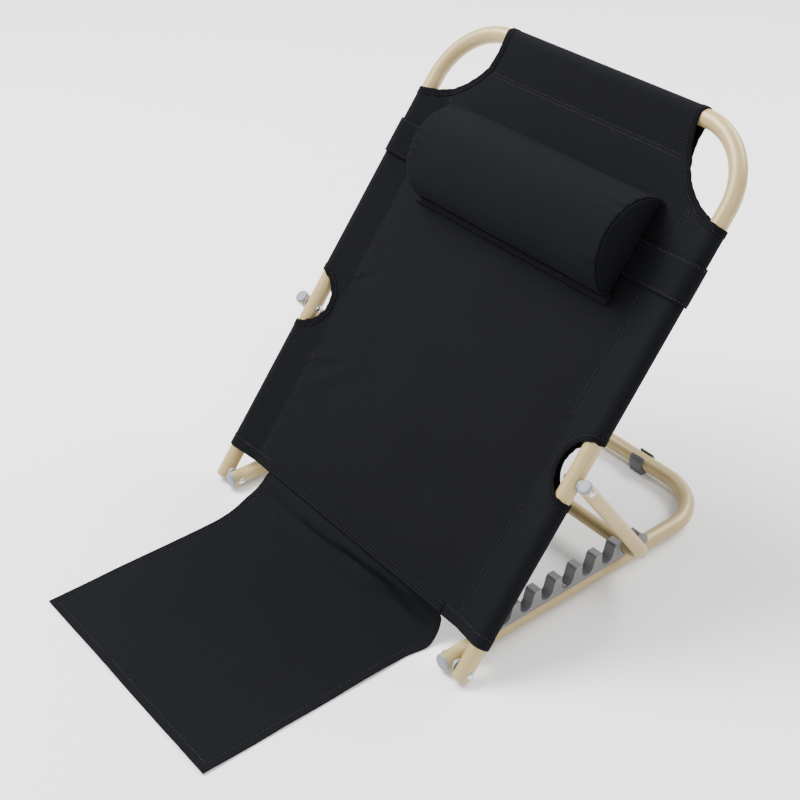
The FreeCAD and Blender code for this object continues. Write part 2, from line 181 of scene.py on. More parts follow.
def smooth(value):
    t = np.clip(value, 0.0, 1.0)
    return t * t * (3 - 2 * t)


def waves(seed, count, shortest, longest):
    """A smooth uneven field of the plane, about -1 to 1, made of seeded sine waves."""
    draw = np.random.default_rng(seed)
    lengths = draw.uniform(shortest, longest, count)
    turns = draw.uniform(0, math.pi, count)
    phases = draw.uniform(0, math.tau, count)

    def field(a, b):
        total = np.zeros(np.shape(a))
        for length, turn, phase in zip(lengths, turns, phases):
            total += np.sin((a * math.cos(turn) + b * math.sin(turn)) * math.tau / length + phase)
        return total / math.sqrt(count)

    return field


# ---- materials ----
class Finish:
    """A procedural material: a Principled shader and the nodes that feed it."""

    def __init__(self, name, sockets):
        self.material = bpy.data.materials.new(name)
        self.material.use_nodes = True
        self.tree = self.material.node_tree
        self.shader = self.tree.nodes["Principled BSDF"]
        for socket, value in sockets.items():
            self.shader.inputs[socket].default_value = value

    def node(self, kind, values=None, **settings):
        made = self.tree.nodes.new(kind)
        for key, value in settings.items():
            setattr(made, key, value)
        for socket, value in (values or {}).items():
            if isinstance(value, bpy.types.NodeSocket):
                self.tree.links.new(value, made.inputs[socket])
            else:
                made.inputs[socket].default_value = value
        return made

    def math(self, operation, a, b=0.0):
        return self.node("ShaderNodeMath", {0: a, 1: b}, operation=operation).outputs[0]

    def mapped(self, value, low, high):
        return self.node("ShaderNodeMapRange", {0: value, 3: low, 4: high}).outputs[0]

    def noise(self, place, scale, detail=3.0):
        values = {"Vector": place, "Scale": scale, "Detail": detail}
        return self.node("ShaderNodeTexNoise", values).outputs["Fac"]

    def object_place(self):
        return self.node("ShaderNodeTexCoord").outputs["Object"]

    def shade(self, colour, amount):
        """The colour, made lighter and darker by a socket that runs about 0 to 1."""
        values = {"Color": (*colour, 1.0), "Value": amount}
        return self.node("ShaderNodeHueSaturation", values).outputs["Color"]

    def bump(self, height, strength, distance):
        values = {"Height": height, "Strength": strength, "Distance": distance}
        return self.node("ShaderNodeBump", values).outputs["Normal"]

    def feed(self, **inputs):
        names = {"colour": "Base Color", "roughness": "Roughness", "normal": "Normal"}
        for key, socket in inputs.items():
            self.tree.links.new(socket, self.shader.inputs[names[key]])
        return self.material


def cloth_finish(name, colour, pitch, sheen, nap):
    """A plain weave that follows the cloth's own coordinates, with slubs, nap and faded places."""
    sockets = {
        "Roughness": 0.88,
        "Specular IOR Level": 0.05,
        "Sheen Weight": sheen,
        "Sheen Roughness": 0.45,
        "Sheen Tint": (0.85, 0.90, 1.0, 1.0),
    }
    made = Finish(name, sockets)
    thread = made.node("ShaderNodeAttribute", attribute_name="weave").outputs["Vector"]
    axes = made.node("ShaderNodeSeparateXYZ", {0: thread}).outputs
    turn = math.tau / pitch
    warp = made.math("SINE", made.math("MULTIPLY", axes["X"], turn))
    weft = made.math("SINE", made.math("MULTIPLY", axes["Y"], turn))
    weave = made.math("MULTIPLY", warp, weft)
    slub = made.noise(thread, 1.0 / (pitch * 1.6), 3.0)
    fuzz = made.noise(thread, 1.0 / (pitch * 0.8), 2.0)
    worn = made.noise(made.object_place(), 9.0, 4.0)
    height = made.math("ADD", made.math("MULTIPLY", weave, 0.5), made.math("MULTIPLY", fuzz, nap))
    height = made.math("ADD", height, made.math("MULTIPLY", slub, 0.6))
    tone = made.math("ADD", made.mapped(weave, -0.12, 0.12), made.mapped(slub, -1.1, 1.1))
    tone = made.math("ADD", tone, made.mapped(worn, 0.86, 1.14))
    return made.feed(
        colour=made.shade(colour, tone),
        roughness=made.mapped(worn, 0.80, 0.96),
        normal=made.bump(height, 0.55, pitch * 0.16),
    )


def paint_finish(name, colour):
    """Satin powder coat: fine orange peel, a faint mottle and slightly polished places."""
    sockets = {"Metallic": 0.18, "Coat Weight": 0.12, "Coat Roughness": 0.35, "Specular IOR Level": 0.5}
    made = Finish(name, sockets)
    place = made.object_place()
    mottle = made.noise(place, 35.0, 4.0)
    peel = made.noise(place, 900.0, 2.0)
    tone = made.math("ADD", made.mapped(mottle, 0.93, 1.05), made.mapped(peel, -0.03, 0.03))
    return made.feed(
        colour=made.shade(colour, tone),
        roughness=made.mapped(mottle, 0.36, 0.50),
        normal=made.bump(peel, 0.25, 0.0002),
    )


def plastic_finish(name, colour, roughness):
    """Moulded plastic: fine spark-eroded grain, a slow change of tone, outer edges lighter as rubbed places, and
    painted shade that darkens its hollows.
    """
    made = Finish(name, {"Specular IOR Level": 0.45})
    place = made.object_place()
    grain = made.noise(place, 1400.0, 2.0)
    slow = made.noise(place, 28.0, 3.0)
    # Pointiness lightens outer edges as rubbed wear, and darkens hollows and inner corners as painted shade.
    edge = made.node("ShaderNodeNewGeometry").outputs["Pointiness"]
    tone = made.math("ADD", made.mapped(slow, 0.90, 1.08), made.mapped(edge, -0.35, 0.35))
    return made.feed(
        colour=made.shade(colour, tone),
        roughness=made.mapped(slow, roughness - 0.08, roughness + 0.08),
        normal=made.bump(grain, 0.3, 0.00015),
    )


def fine_finish(name, colour, sockets, grain, tone, roughness, bump):
    """One fine grain (scale, detail) that drives the tone, the roughness and the bump."""
    made = Finish(name, sockets)
    noise = made.noise(made.object_place(), *grain)
    return made.feed(
        colour=made.shade(colour, made.mapped(noise, *tone)),
        roughness=made.mapped(noise, *roughness),
        normal=made.bump(noise, bump, 0.0001),
    )


CANVAS = (0.0062, 0.0065, 0.0081)
canvas = cloth_finish("sling_canvas", CANVAS, 0.0009, 0.008, 0.35)
pillow_canvas = cloth_finish("pillow_canvas", (0.0058, 0.0061, 0.0077), 0.0008, 0.010, 0.6)
strap_canvas = cloth_finish("strap_canvas", (0.0056, 0.0059, 0.0073), 0.0009, 0.008, 0.35)
tape_cloth = cloth_finish("tape_cloth", (0.0045, 0.0047, 0.0058), 0.0011, 0.006, 0.2)
thread = fine_finish(
    "thread", (0.0050, 0.0053, 0.0064), {"Sheen Weight": 0.25, "Sheen Roughness": 0.3},
    grain=(2600.0, 1.0), tone=(0.75, 1.25), roughness=(0.55, 0.75), bump=0.4,
)
zinc = fine_finish(
    "bright_zinc", (0.60, 0.61, 0.62), {"Metallic": 1.0},
    grain=(500.0, 3.0), tone=(0.88, 1.08), roughness=(0.16, 0.30), bump=0.15,
)
tube_paint = paint_finish("tube_paint", (0.42, 0.316, 0.145))
CAD_FINISHES = {
    "frame_paint": tube_paint,
    "foot_plastic": plastic_finish("tan_plastic", (0.37, 0.29, 0.165), 0.45),
    "cap_plastic": plastic_finish("cap_grey", (0.185, 0.205, 0.228), 0.42),
    "rack_plastic": plastic_finish("rack_grey", (0.142, 0.142, 0.145), 0.45),
    "glide_plastic": plastic_finish("glide_grey", (0.085, 0.088, 0.095), 0.44),
    "washer_plastic": plastic_finish("washer_grey", (0.20, 0.21, 0.22), 0.4),
    "rivet_steel": zinc,
}


# ---- making pieces ----
def linked(name, data):
    """A new object in the scene."""
    made = bpy.data.objects.new(name, data)
    bpy.context.scene.collection.objects.link(made)
    return made


def shade_smooth(mesh):
    mesh.polygons.foreach_set("use_smooth", [True] * len(mesh.polygons))


def set_weave(mesh, flat):
    """Stores each point's place on its cloth, in metres, for the weave to follow."""
    place = np.zeros((len(flat), 3), np.float32)
    place[:, :2] = flat
    made = mesh.attributes.new("weave", "FLOAT_VECTOR", "POINT")
    made.data.foreach_set("vector", place.ravel())


def new_piece(name, points, faces, finish, weave=None):
    """A smooth-shaded mesh piece, with its weave if it is cloth."""
    mesh = bpy.data.meshes.new(name)
    mesh.from_pydata(np.asarray(points).tolist(), [], np.asarray(faces).tolist())
    shade_smooth(mesh)
    if weave is not None:
        set_weave(mesh, weave)
    mesh.materials.append(finish)
    mesh.update()
    return linked(name, mesh)


def grid_faces(rows, columns, wrap_rows=False, wrap_columns=False):
    """Quads over points laid out row by row, closed on itself where asked."""
    faces = []
    for i in range(rows if wrap_rows else rows - 1):
        for j in range(columns if wrap_columns else columns - 1):
            k, m = (i + 1) % rows, (j + 1) % columns
            faces.append((i * columns + j, i * columns + m, k * columns + m, k * columns + j))
    return faces


def thicken(piece, thickness):
    """Gives a sheet its thickness, half to each side of its middle surface."""
    solid = piece.modifiers.new("thickness", "SOLIDIFY")
    solid.thickness = thickness
    solid.offset = 0.0


def measured(path):
    """Distances along a path of points."""
    steps = np.linalg.norm(np.diff(path, axis=0), axis=1)
    return np.concatenate([[0.0], np.cumsum(steps)])


def sampled(path, stations, values=None):
    """The flat path's points, or values given at its points, at distances along it."""
    along = measured(path)
    values = path if values is None else values
    return np.stack([np.interp(stations, along, values[:, k]) for k in (0, 1)], axis=1)


def spaced(path, count):
    """The path with a given number of evenly spaced points, its ends kept."""
    return sampled(path, np.linspace(0, measured(path)[-1], count))


def resampled(path, spacing):
    """The path with evenly spaced points about a spacing apart."""
    return spaced(path, max(2, int(round(measured(path)[-1] / spacing)) + 1))


def unit(vectors):
    return vectors / np.maximum(np.linalg.norm(vectors, axis=-1, keepdims=True), 1e-9)


def to_left(way):
    """Unit directions to the left of flat directions."""
    way = unit(way)
    return np.c_[-way[:, 1], way[:, 0]]


def stitches(name, rows, place):
    """Rows of thread stitches. place(flat points) gives their points and normals."""
    starts, ends = [], []
    for row in rows:
        row = np.asarray(row, float)
        length = measured(row)[-1]
        count = int(length / STITCH_PITCH)
        first = np.arange(count) * STITCH_PITCH + (length - count * STITCH_PITCH) / 2
        starts.append(sampled(row, first))
        ends.append(sampled(row, first + STITCH_LENGTH))
    a, normal = place(np.concatenate(starts))
    b = place(np.concatenate(ends))[0]
    middle = (a + b) / 2
    side = unit(np.cross(b - a, normal)) * STITCH_WIDTH / 2
    top = middle + normal * STITCH_HEIGHT
    low = middle - normal * STITCH_HEIGHT
    points = np.stack([a, b, middle + side, top, middle - side, low], axis=1).reshape(-1, 3)
    faces = []
    for k in range(len(a)):
        ring = [6 * k + 2, 6 * k + 3, 6 * k + 4, 6 * k + 5]
        for i in range(4):
            faces.append((6 * k, ring[i], ring[(i + 1) % 4]))
            faces.append((6 * k + 1, ring[(i + 1) % 4], ring[i]))
    piece = new_piece(name, points, faces, thread)
    return piece


# ---- the sling's sleeves ----
class Sleeve:
    """The section of a cloth sleeve, by distance past its seam: out along the panel's plane,
    round a tube, and back to the seam under the panel."""

    run_in = 0.012
    step = 0.0004

    def __init__(self, seam, centre):
        self.seam = seam
        self.radius = TUBE_R + CLOTH_GAP + CLOTH / 2
        lean = math.asin(self.radius / (centre - seam))
        turns = np.linspace(-lean, math.pi + lean, 90)
        ring = np.c_[centre + self.radius * np.sin(turns), self.radius * np.cos(turns)]
        back = -CLOTH * 1.1
        ends = [(seam, back), (seam - SEAM_ALLOWANCE, back)]
        path = np.concatenate([[(seam - self.run_in, 0), (seam, 0)], ring, ends])
        path = resampled(path, self.step)
        kernel = np.hanning(9)
        kernel = kernel / kernel.sum()
        padded = np.pad(path, ((4, 4), (0, 0)), mode="edge")
        inner = np.stack([np.convolve(padded[:, k], kernel, mode="valid") for k in (0, 1)], axis=1)
        path[4:-4] = inner[4:-4]
        self.path = path
        self.reach = measured(path) - self.run_in
        self.end = self.reach[-1]
        self.normal = to_left(np.gradient(path, self.reach, axis=0))
        straight_run = math.sqrt((centre - seam) ** 2 - self.radius ** 2)
        self.turn_zero = straight_run + lean * self.radius

    def at(self, reach):
        """Position along the panel, height off it, and the same two parts of the normal."""
        inside = reach < -self.run_in
        found = [np.interp(reach, self.reach, self.path[:, k]) for k in (0, 1)]
        normal = [np.interp(reach, self.reach, self.normal[:, k]) for k in (0, 1)]
        position = np.where(inside, self.seam + reach, found[0])
        return position, np.where(inside, 0.0, found[1]), normal[0], normal[1]

    def at_turn(self, turn):
        return self.turn_zero + turn * self.radius


side_sleeve = Sleeve(SIDE_SEAM, TUBE_X)
top_sleeve = Sleeve(TOP_SEAM, TOP_TUBE_UP)
SPLIT = side_sleeve.at_turn(SPLIT_TURN)
slack = waves(3, 9, 0.07, 0.24)
pucker_phase = waves(5, 4, 0.05, 0.12)


def relief(across, up):
    """How far the cloth stands off its plane: broad slack, puckers along its seams, creases."""
    to_side = SIDE_SEAM - np.abs(across)
    to_top = TOP_SEAM - up
    free = smooth((to_side - 0.015) / 0.06) * smooth((to_top - 0.01) / 0.06)
    free = free * smooth((up - HEM_UP - 0.02) / 0.05)
    broad = SLACK_HEIGHT * slack(across, up) * free
    phase = 2.5 * pucker_phase(across, up)
    wave = math.tau / PUCKER_PITCH
    side = np.exp(-np.abs(to_side) / PUCKER_REACH) * np.sin(up * wave + phase)
    top = np.exp(-np.abs(to_top) / PUCKER_REACH) * np.sin(across * wave + phase)
    in_panel = smooth((to_side + 0.02) / 0.02) * smooth((to_top + 0.02) / 0.02)
    creased = sum(crease(np.abs(across), up, *spot) for spot in CREASES)
    creased = creased * smooth((to_side + PUCKER_REACH) / PUCKER_REACH)
    return broad + PUCKER_HEIGHT * (side + top) * in_panel + creased


def crease(across, up, centre, height_up, degrees, length, width, size):
    """A short ridge in the cloth, or a valley if its size is negative."""
    turn = math.radians(degrees)
    along = (across - centre) * math.cos(turn) + (up - height_up) * math.sin(turn)
    off = (up - height_up) * math.cos(turn) - (across - centre) * math.sin(turn)
    return size * np.exp(-((along / length) ** 2) - (off / width) ** 2)


def on_sling(flat, lift=0.0):
    """Places points of the sling's flat pattern on it, lifted off its middle surface."""
    u, v = flat[:, 0], flat[:, 1]
    side = np.where(u < 0, -1.0, 1.0)
    across, out_side, normal_across, normal_side = side_sleeve.at(np.abs(u) - SIDE_SEAM)
    up, out_top, normal_up, normal_top = top_sleeve.at(v - TOP_SEAM)
    out = out_side + out_top + relief(side * across, up) * np.abs(normal_side * normal_top)
    normal = np.c_[side * normal_across, normal_up, normal_side * normal_top]
    normal = unit(normal)
    local = np.c_[side * across, up, out] + normal * lift
    placed = on_back(local[:, 0], local[:, 1], local[:, 2])
    return placed, on_back(*normal.T) - PIVOT


def mirrored(path):
    """A pattern path on the other side, its order turned round to keep the cloth on its left."""
    return (path * np.array([-1.0, 1.0]))[::-1]


# ---- the sling's flat pattern ----
def corner_edge():
    """The right corner cut-out's edge, from behind the side tube to behind the top tube."""
    reach = np.arange(side_sleeve.end, 0.0, -0.002)
    across = side_sleeve.at(reach)[0]
    drop = np.sqrt(CORNER_CUT_R ** 2 - (CORNER_CUT_X - across) ** 2)
    side = np.c_[SIDE_SEAM + reach, CORNER_CUT_UP - drop]
    start = math.acos((CORNER_CUT_X - SIDE_SEAM) / CORNER_CUT_R)
    stop = math.asin((CORNER_CUT_UP - TOP_SEAM) / CORNER_CUT_R)
    turn = np.linspace(start, stop, 22)
    free = np.c_[-np.cos(turn), -np.sin(turn)] * CORNER_CUT_R
    free = free + np.array([CORNER_CUT_X, CORNER_CUT_UP])
    reach = np.arange(0.002, top_sleeve.end, 0.002)
    up = top_sleeve.at(reach)[0]
    inward = np.sqrt(CORNER_CUT_R ** 2 - (CORNER_CUT_UP - up) ** 2)
    top = np.c_[CORNER_CUT_X - inward, TOP_SEAM + reach]
    return np.concatenate([side, free, top])


def side_cut():
    """The right side cut-out: distance past the seam and half height, front to back."""
    turn = np.linspace(0.0, math.radians(84), 26)
    across = SIDE_CUT_X - SIDE_CUT_R * np.cos(turn)
    crest = np.argmax(side_sleeve.path[:, 0])
    front = np.interp(across, side_sleeve.path[:crest, 0], side_sleeve.reach[:crest])
    rear_path = side_sleeve.path[crest:][::-1]
    rear = np.interp(across, rear_path[:, 0], side_sleeve.reach[crest:][::-1])
    middle = np.arange(front[-1] + 0.0015, rear[-1] - 0.001, 0.0018)
    reach = np.concatenate([front, middle, rear[::-1]])
    spare = SIDE_CUT_R ** 2 - (SIDE_CUT_X - side_sleeve.at(reach)[0]) ** 2
    height = np.sqrt(np.maximum(spare, 0.0))
    height[0] = height[-1] = 0.0
    return reach, height


cut_reach, cut_height = side_cut()
cut_u = SIDE_SEAM + cut_reach
lower_edge = np.c_[cut_u, SIDE_CUT_UP - cut_height]
upper_edge = np.c_[cut_u, SIDE_CUT_UP + cut_height]
in_front = cut_reach <= SPLIT
CORNER = corner_edge()
FRONT_CUT = np.concatenate([lower_edge[in_front][::-1], upper_edge[1:]])
REAR_CUT = lower_edge[~in_front][::-1]
SPLIT_U = SIDE_SEAM + SPLIT
END_U = SIDE_SEAM + side_sleeve.end


def straight(start, stop, spacing=0.0025):
    return resampled(np.array([start, stop], float), spacing)


def joined(*paths):
    """Paths end to end as one closed outline, without doubled points."""
    whole = np.concatenate(paths)
    keep = np.linalg.norm(whole - np.roll(whole, 1, axis=0), axis=1) > 1e-5
    return whole[keep]


def sling_outline():
    right = [
        straight((SPLIT_U, HEM_UP), (SPLIT_U, FRONT_CUT[0, 1]))[:-1],
        FRONT_CUT,
        straight(FRONT_CUT[-1], (END_U, SIDE_CUT_UP))[1:],
        straight((END_U, SIDE_CUT_UP), CORNER[0])[1:-1],
        CORNER,
    ]
    left = [mirrored(path) for path in right[::-1]]
    hem = straight((-SPLIT_U, HEM_UP), (SPLIT_U, HEM_UP))[1:-1]
    top = straight(CORNER[-1], mirrored(CORNER)[0])[1:-1]
    return joined(*right, top, *left, hem)


def rear_outline():
    """The part of a lower side sleeve that is turned back behind the tube, on the right."""
    return joined(
        straight((SPLIT_U, HEM_UP), (END_U, HEM_UP)),
        straight((END_U, HEM_UP), (END_U, SIDE_CUT_UP)),
        straight((END_U, SIDE_CUT_UP), (cut_u[-1], SIDE_CUT_UP)),
        REAR_CUT,
        straight(REAR_CUT[-1], (SPLIT_U, HEM_UP))[:-1],
    )


def inside(points, outline):
    """Which flat points lie inside a closed outline."""
    crossings = np.zeros(len(points), int)
    for a, b in zip(outline, np.roll(outline, -1, axis=0)):
        spans = (a[1] > points[:, 1]) != (b[1] > points[:, 1])
        share = (points[:, 1] - a[1]) / (b[1] - a[1] if b[1] != a[1] else 1.0)
        crossings += spans & (points[:, 0] < a[0] + share * (b[0] - a[0]))
    return crossings % 2 == 1


def filled(outline, columns, rows):
    """Flat points and triangles that fill an outline, on a grid of the given lines."""
    grid = np.stack(np.meshgrid(columns, rows), axis=-1).reshape(-1, 2)
    grid = grid[inside(grid, outline)]
    tree = kdtree.KDTree(len(outline))
    for index, point in enumerate(outline):
        tree.insert((*point, 0.0), index)
    tree.balance()
    far = [tree.find((*point, 0.0))[2] > EDGE_CLEARANCE for point in grid]
    points = np.concatenate([outline, grid[far]])
    vectors = [Vector(point) for point in points]
    found = geometry.delaunay_2d_cdt(vectors, [], [list(range(len(outline)))], 1, 1e-7)
    return np.array([tuple(point) for point in found[0]]), found[2]


def ring_lines(start, stop, spacing):
    return np.arange(start + spacing / 2, stop, spacing)


def cut_sheet(name, outline, columns, rows):
    """A piece of the sling's cloth cut to an outline, laid in place and given its thickness."""
    flat, faces = filled(outline, columns, rows)
    sheet = new_piece(name, on_sling(flat)[0], faces, canvas, flat)
    thicken(sheet, CLOTH)
    return sheet


def sling_sheet():
    """The sling: panel, side sleeves, the split lower sleeves' fronts and the top sleeve."""
    outline = sling_outline()
    panel_half, panel_top = SIDE_SEAM - Sleeve.run_in, TOP_SEAM - Sleeve.run_in
    sleeve_lines = ring_lines(panel_half, END_U, SLEEVE_SPACING)
    panel_lines = ring_lines(-panel_half, panel_half, PANEL_SPACING)
    columns = np.concatenate([-sleeve_lines[::-1], panel_lines, sleeve_lines])
    rows = np.concatenate([
        ring_lines(HEM_UP, panel_top, ROW_SPACING),
        ring_lines(panel_top, TOP_SEAM + top_sleeve.end, SLEEVE_SPACING),
    ])
    sheet = cut_sheet("sling_cloth", outline, columns, rows)
    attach(sheet, "back")
    backs = ["upper_sleeve_back_left", "upper_sleeve_back_right", "top_sleeve_back"]
    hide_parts("sling", *backs)
    return sheet, outline


def flattened(piece):
    """A piece behind a lower side tube, which on the bed the rack presses flat as the back goes down; here it is
    only attached to the back and given a mesh of its own.
    """
    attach(piece, "back")
    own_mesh(piece)
    return piece


def on_side(path, side):
    return path if side > 0 else mirrored(path)


def rear_sheet(name, side):
    """The turned-back cloth behind one lower side tube."""
    outline = on_side(rear_outline(), side)
    columns = side * ring_lines(SPLIT_U, END_U, 0.0025)
    rows = ring_lines(HEM_UP, SIDE_CUT_UP, ROW_SPACING)
    sheet = flattened(cut_sheet("sling_rear_sleeve_" + name, outline, np.sort(columns), rows))
    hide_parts("lower_sleeve_back_" + name)
    return sheet


def sleeve_lining(name, side):
    """The cloth that stays round the inner side of a lower tube when its rear sleeve flattens."""
    turns = np.linspace(SPLIT_TURN - 0.1, LINING_TURN, 14)
    radius = side_sleeve.radius - 0.0001
    rows = np.arange(HEM_UP + 0.001, SIDE_CUT_UP - SIDE_CUT_R, 0.006)
    across = side * (TUBE_X + radius * np.sin(turns))
    out = radius * np.cos(turns)
    points = np.concatenate([on_back(across, up, out) for up in rows])
    weave = np.stack(np.meshgrid(turns * radius, rows), axis=-1).reshape(-1, 2)
    faces = grid_faces(len(rows), len(turns))
    piece = new_piece("sleeve_lining_" + name, points, faces, canvas, weave)
    thicken(piece, CLOTH * 0.5)
    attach(piece, "back")
    return piece


# ---- the sling's edges ----
def binding_section(width, lift, roll=0.0007):
    """A tape folded over an edge: depth from the edge and height, round its section."""
    turns = np.linspace(math.pi / 2, -math.pi / 2, 7)
    rounded = [(0.0004 - (roll + 0.0004) * math.cos(t), lift * math.sin(t)) for t in turns]
    front = [(width, lift * 0.62), (width - 0.0005, lift), (width * 0.5, lift * 1.04)]
    return front + rounded + [(d, -h) for d, h in front[::-1]]


def band_section(width, lift, rows):
    """A raised band of several layers, pinched where its rows of stitching run."""
    depths = np.linspace(0.0, width, 40)
    pinch = sum(np.exp(-((depths - row) / 0.0008) ** 2) for row in rows)
    ends = smooth(depths / 0.0012) * smooth((width - depths) / 0.0012)
    heights = (lift - 0.0011 * pinch) * (0.35 + 0.65 * ends)
    return list(zip(depths, heights)) + [(width, 0.0), (0.0, 0.0)]


def swept(name, path, section, finish, place, wobble=0.0):
    """A closed section swept along an edge whose cloth lies on its left."""
    inward = to_left(np.gradient(path, axis=0))
    along = measured(path)
    shift = wobble * np.sin(along * math.tau / 0.013) * np.sin(along * math.tau / 0.047)
    points, weave = [], []
    for depth, height in section:
        flat = path + inward * (depth + shift)[:, None]
        placed, normal = place(flat)
        points.append(placed + normal * height)
        weave.append(np.c_[along, np.full(len(along), depth)])
    count = len(path)
    faces = grid_faces(len(section), count, wrap_rows=True)
    piece = new_piece(name, np.concatenate(points), faces, finish, np.concatenate(weave))
    starts = np.arange(len(section)) * count
    return capped(piece, [starts.tolist(), (starts[::-1] + count - 1).tolist()])


def capped(piece, loops):
    """Closes a swept section's two ends, and turns its faces outwards."""
    shape = bmesh.new()
    shape.from_mesh(piece.data)
    shape.verts.ensure_lookup_table()
    for loop in loops:
        shape.faces.new([shape.verts[index] for index in loop])
    bmesh.ops.recalc_face_normals(shape, faces=shape.faces)
    shape.to_mesh(piece.data)
    shape.free()
    shade_smooth(piece.data)
    return piece


TAPE_SECTION = binding_section(TAPE_WIDTH, TAPE_LIFT)
HEM_SECTION = binding_section(HEM_WIDTH, HEM_LIFT)
BAND_ROWS = (0.0030, 0.0065, 0.0100)


def edge_tapes():
    """The rolled tapes on the corner and side cut-outs, on both sides."""
    kinds = (("corner_tape_", CORNER, 0.0004), ("side_tape_", FRONT_CUT, 0.0007))
    kinds = kinds + (("side_tape_rear_", REAR_CUT, 0.0),)
    made = []
    for name, side in SIDES:
        for kind, path, wobble in kinds:
            path = on_side(path, side)
            tape = swept(kind + name, path, TAPE_SECTION, tape_cloth, on_sling, wobble)
            if kind == "side_tape_rear_":
                flattened(tape)
            else:
                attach(tape, "back")
            made.append(tape)
    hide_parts("cutout_tapes")
    return made


def hem_pieces():
    """The turned hem, its parts behind the tubes, and the raised band over the flap's seam."""
    edge = straight((-SPLIT_U, HEM_UP), (SPLIT_U, HEM_UP))
    hem = swept("sling_hem_fold", edge, HEM_SECTION, canvas, on_sling)
    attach(hem, "back")
    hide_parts("sling_hem")
    band_half = FLAP_HALF + 0.003
    edge = straight((-band_half, HEM_UP + 0.0004), (band_half, HEM_UP + 0.0004))
    band = swept("flap_seam_band", edge, band_section(0.013, BAND_LIFT, BAND_ROWS), canvas, on_sling)
    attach(band, "back")
    made = [hem, band]
    for name, side in SIDES:
        path = on_side(straight((SPLIT_U, HEM_UP), (END_U, HEM_UP)), side)
        made.append(flattened(swept("hem_fold_rear_" + name, path, HEM_SECTION, canvas, on_sling)))
    return made


def inset(path, depth):
    """A pattern path moved onto the cloth, away from its edge."""
    return path + to_left(np.gradient(path, axis=0)) * depth


def bar_tack(u, low, high):
    """A short dense row across the end of a seam."""
    return [[(u, low), (u, high)], [(u + 0.0011, low), (u + 0.0011, high)]]


def sling_stitching():
    """Every row of stitching that shows on the sling's face and edges."""
    plain, raised, banded = [], [], []
    drop = math.sqrt(CORNER_CUT_R ** 2 - (CORNER_CUT_X - SIDE_SEAM) ** 2)
    seam_top = CORNER_CUT_UP - drop - TAPE_WIDTH
    low_stop = SIDE_CUT_UP - SEAM_STOP_LOW
    high_stop = SIDE_CUT_UP + SEAM_STOP_HIGH
    for side in (-1, 1):
        for back in (0.0008, 0.0058):
            u = side * (SIDE_SEAM - back)
            plain.append([(u, HEM_UP + HEM_WIDTH), (u, low_stop)])
            plain.append([(u, high_stop), (u, seam_top)])
        for low in (HEM_UP + 0.017, low_stop - BAR_TACK, high_stop, seam_top - 0.008):
            plain += bar_tack(side * (SIDE_SEAM - 0.003), low, low + BAR_TACK)
        for path in (CORNER, FRONT_CUT):
            raised.append(inset(on_side(path, side), TAPE_ROW))
        banded += bar_tack(side * (FLAP_HALF + 0.0005), HEM_UP + 0.002, HEM_UP + 0.011)
    inward = math.sqrt(CORNER_CUT_R ** 2 - (CORNER_CUT_UP - TOP_SEAM) ** 2)
    top_half = CORNER_CUT_X - inward - TAPE_WIDTH
    for back in (0.0008, 0.0048):
        plain.append([(-top_half, TOP_SEAM - back), (top_half, TOP_SEAM - back)])
    hem_row = HEM_UP + HEM_WIDTH * 0.82
    raised.append([(-SPLIT_U, hem_row), (-FLAP_HALF - 0.004, hem_row)])
    raised.append([(FLAP_HALF + 0.004, hem_row), (SPLIT_U, hem_row)])
    for row in BAND_ROWS:
        banded.append([(-FLAP_HALF, HEM_UP + row), (FLAP_HALF, HEM_UP + row)])
    made = []
    on_band = BAND_LIFT - 0.0010
    lifts = (("sling", plain, CLOTH / 2), ("edge", raised, TAPE_LIFT), ("band", banded, on_band))
    for name, rows, lift in lifts:
        row = stitches(name + "_stitching", rows, lambda flat, h=lift: on_sling(flat, h))
        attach(row, "back")
        made.append(row)
    return made


sling, sling_cut = sling_sheet()
rear_sleeves = [rear_sheet(name, side) for name, side in SIDES]
linings = [sleeve_lining(name, side) for name, side in SIDES]
tapes = edge_tapes()
hems = hem_pieces()
seams = sling_stitching()


# ---- the seat flap ----
# Its side view is drawn for each edge as (Y from the pivot, Z): down behind the hem, then to
# the floor. The right edge drops more steeply than the left one.
FLAP_LEFT = [
    (0.0270, 0.0457), (0.0198, 0.0362), (0.0080, 0.0276), (-0.0100, 0.0162),
    (-0.0320, 0.0066), (-0.0540, 0.0019), (-0.0780, 0.0009),
]
FLAP_RIGHT = [
    (0.0270, 0.0457), (0.0202, 0.0362), (0.0182, 0.0285), (0.0164, 0.0195),
    (0.0126, 0.0092), (0.0045, 0.0025), (-0.0100, 0.0009),
]
UPPER_ROWS = 17
FLAP_SPACING = 0.0045
FLAP_SWAY = 0.0022
FLAP_TROUGH = 0.0050
FLAP_BULGE_Z = 0.0315
FLAP_RIPPLE = 0.0012
FLAP_FOOT_SHIFT = 0.0045
HEM_STEPS = np.array(
    [0.0, 0.0005, 0.0014, 0.0030, 0.0050, 0.0068, 0.0076, 0.0082, 0.0088, 0.0096, 0.0112]
)
flap_slack = waves(11, 7, 0.06, 0.17)
floor_slack = waves(29, 6, 0.09, 0.26)


def curve_through(points, count):
    """A smooth curve through the points (Catmull-Rom), as many points as asked."""
    points = np.array(points)
    ends = [2 * points[0] - points[1], 2 * points[-1] - points[-2]]
    knots = np.concatenate([[ends[0]], points, [ends[1]]])
    t = np.linspace(0, len(points) - 1.000001, count)
    k = t.astype(int)
    f = (t - k)[:, None]
    a, b, c, d = (knots[k + step] for step in range(4))
    bend = (2 * a - 5 * b + 4 * c - d) * f ** 2 + (3 * (b - c) + d - a) * f ** 3
    return (2 * b + (c - a) * f + bend) / 2


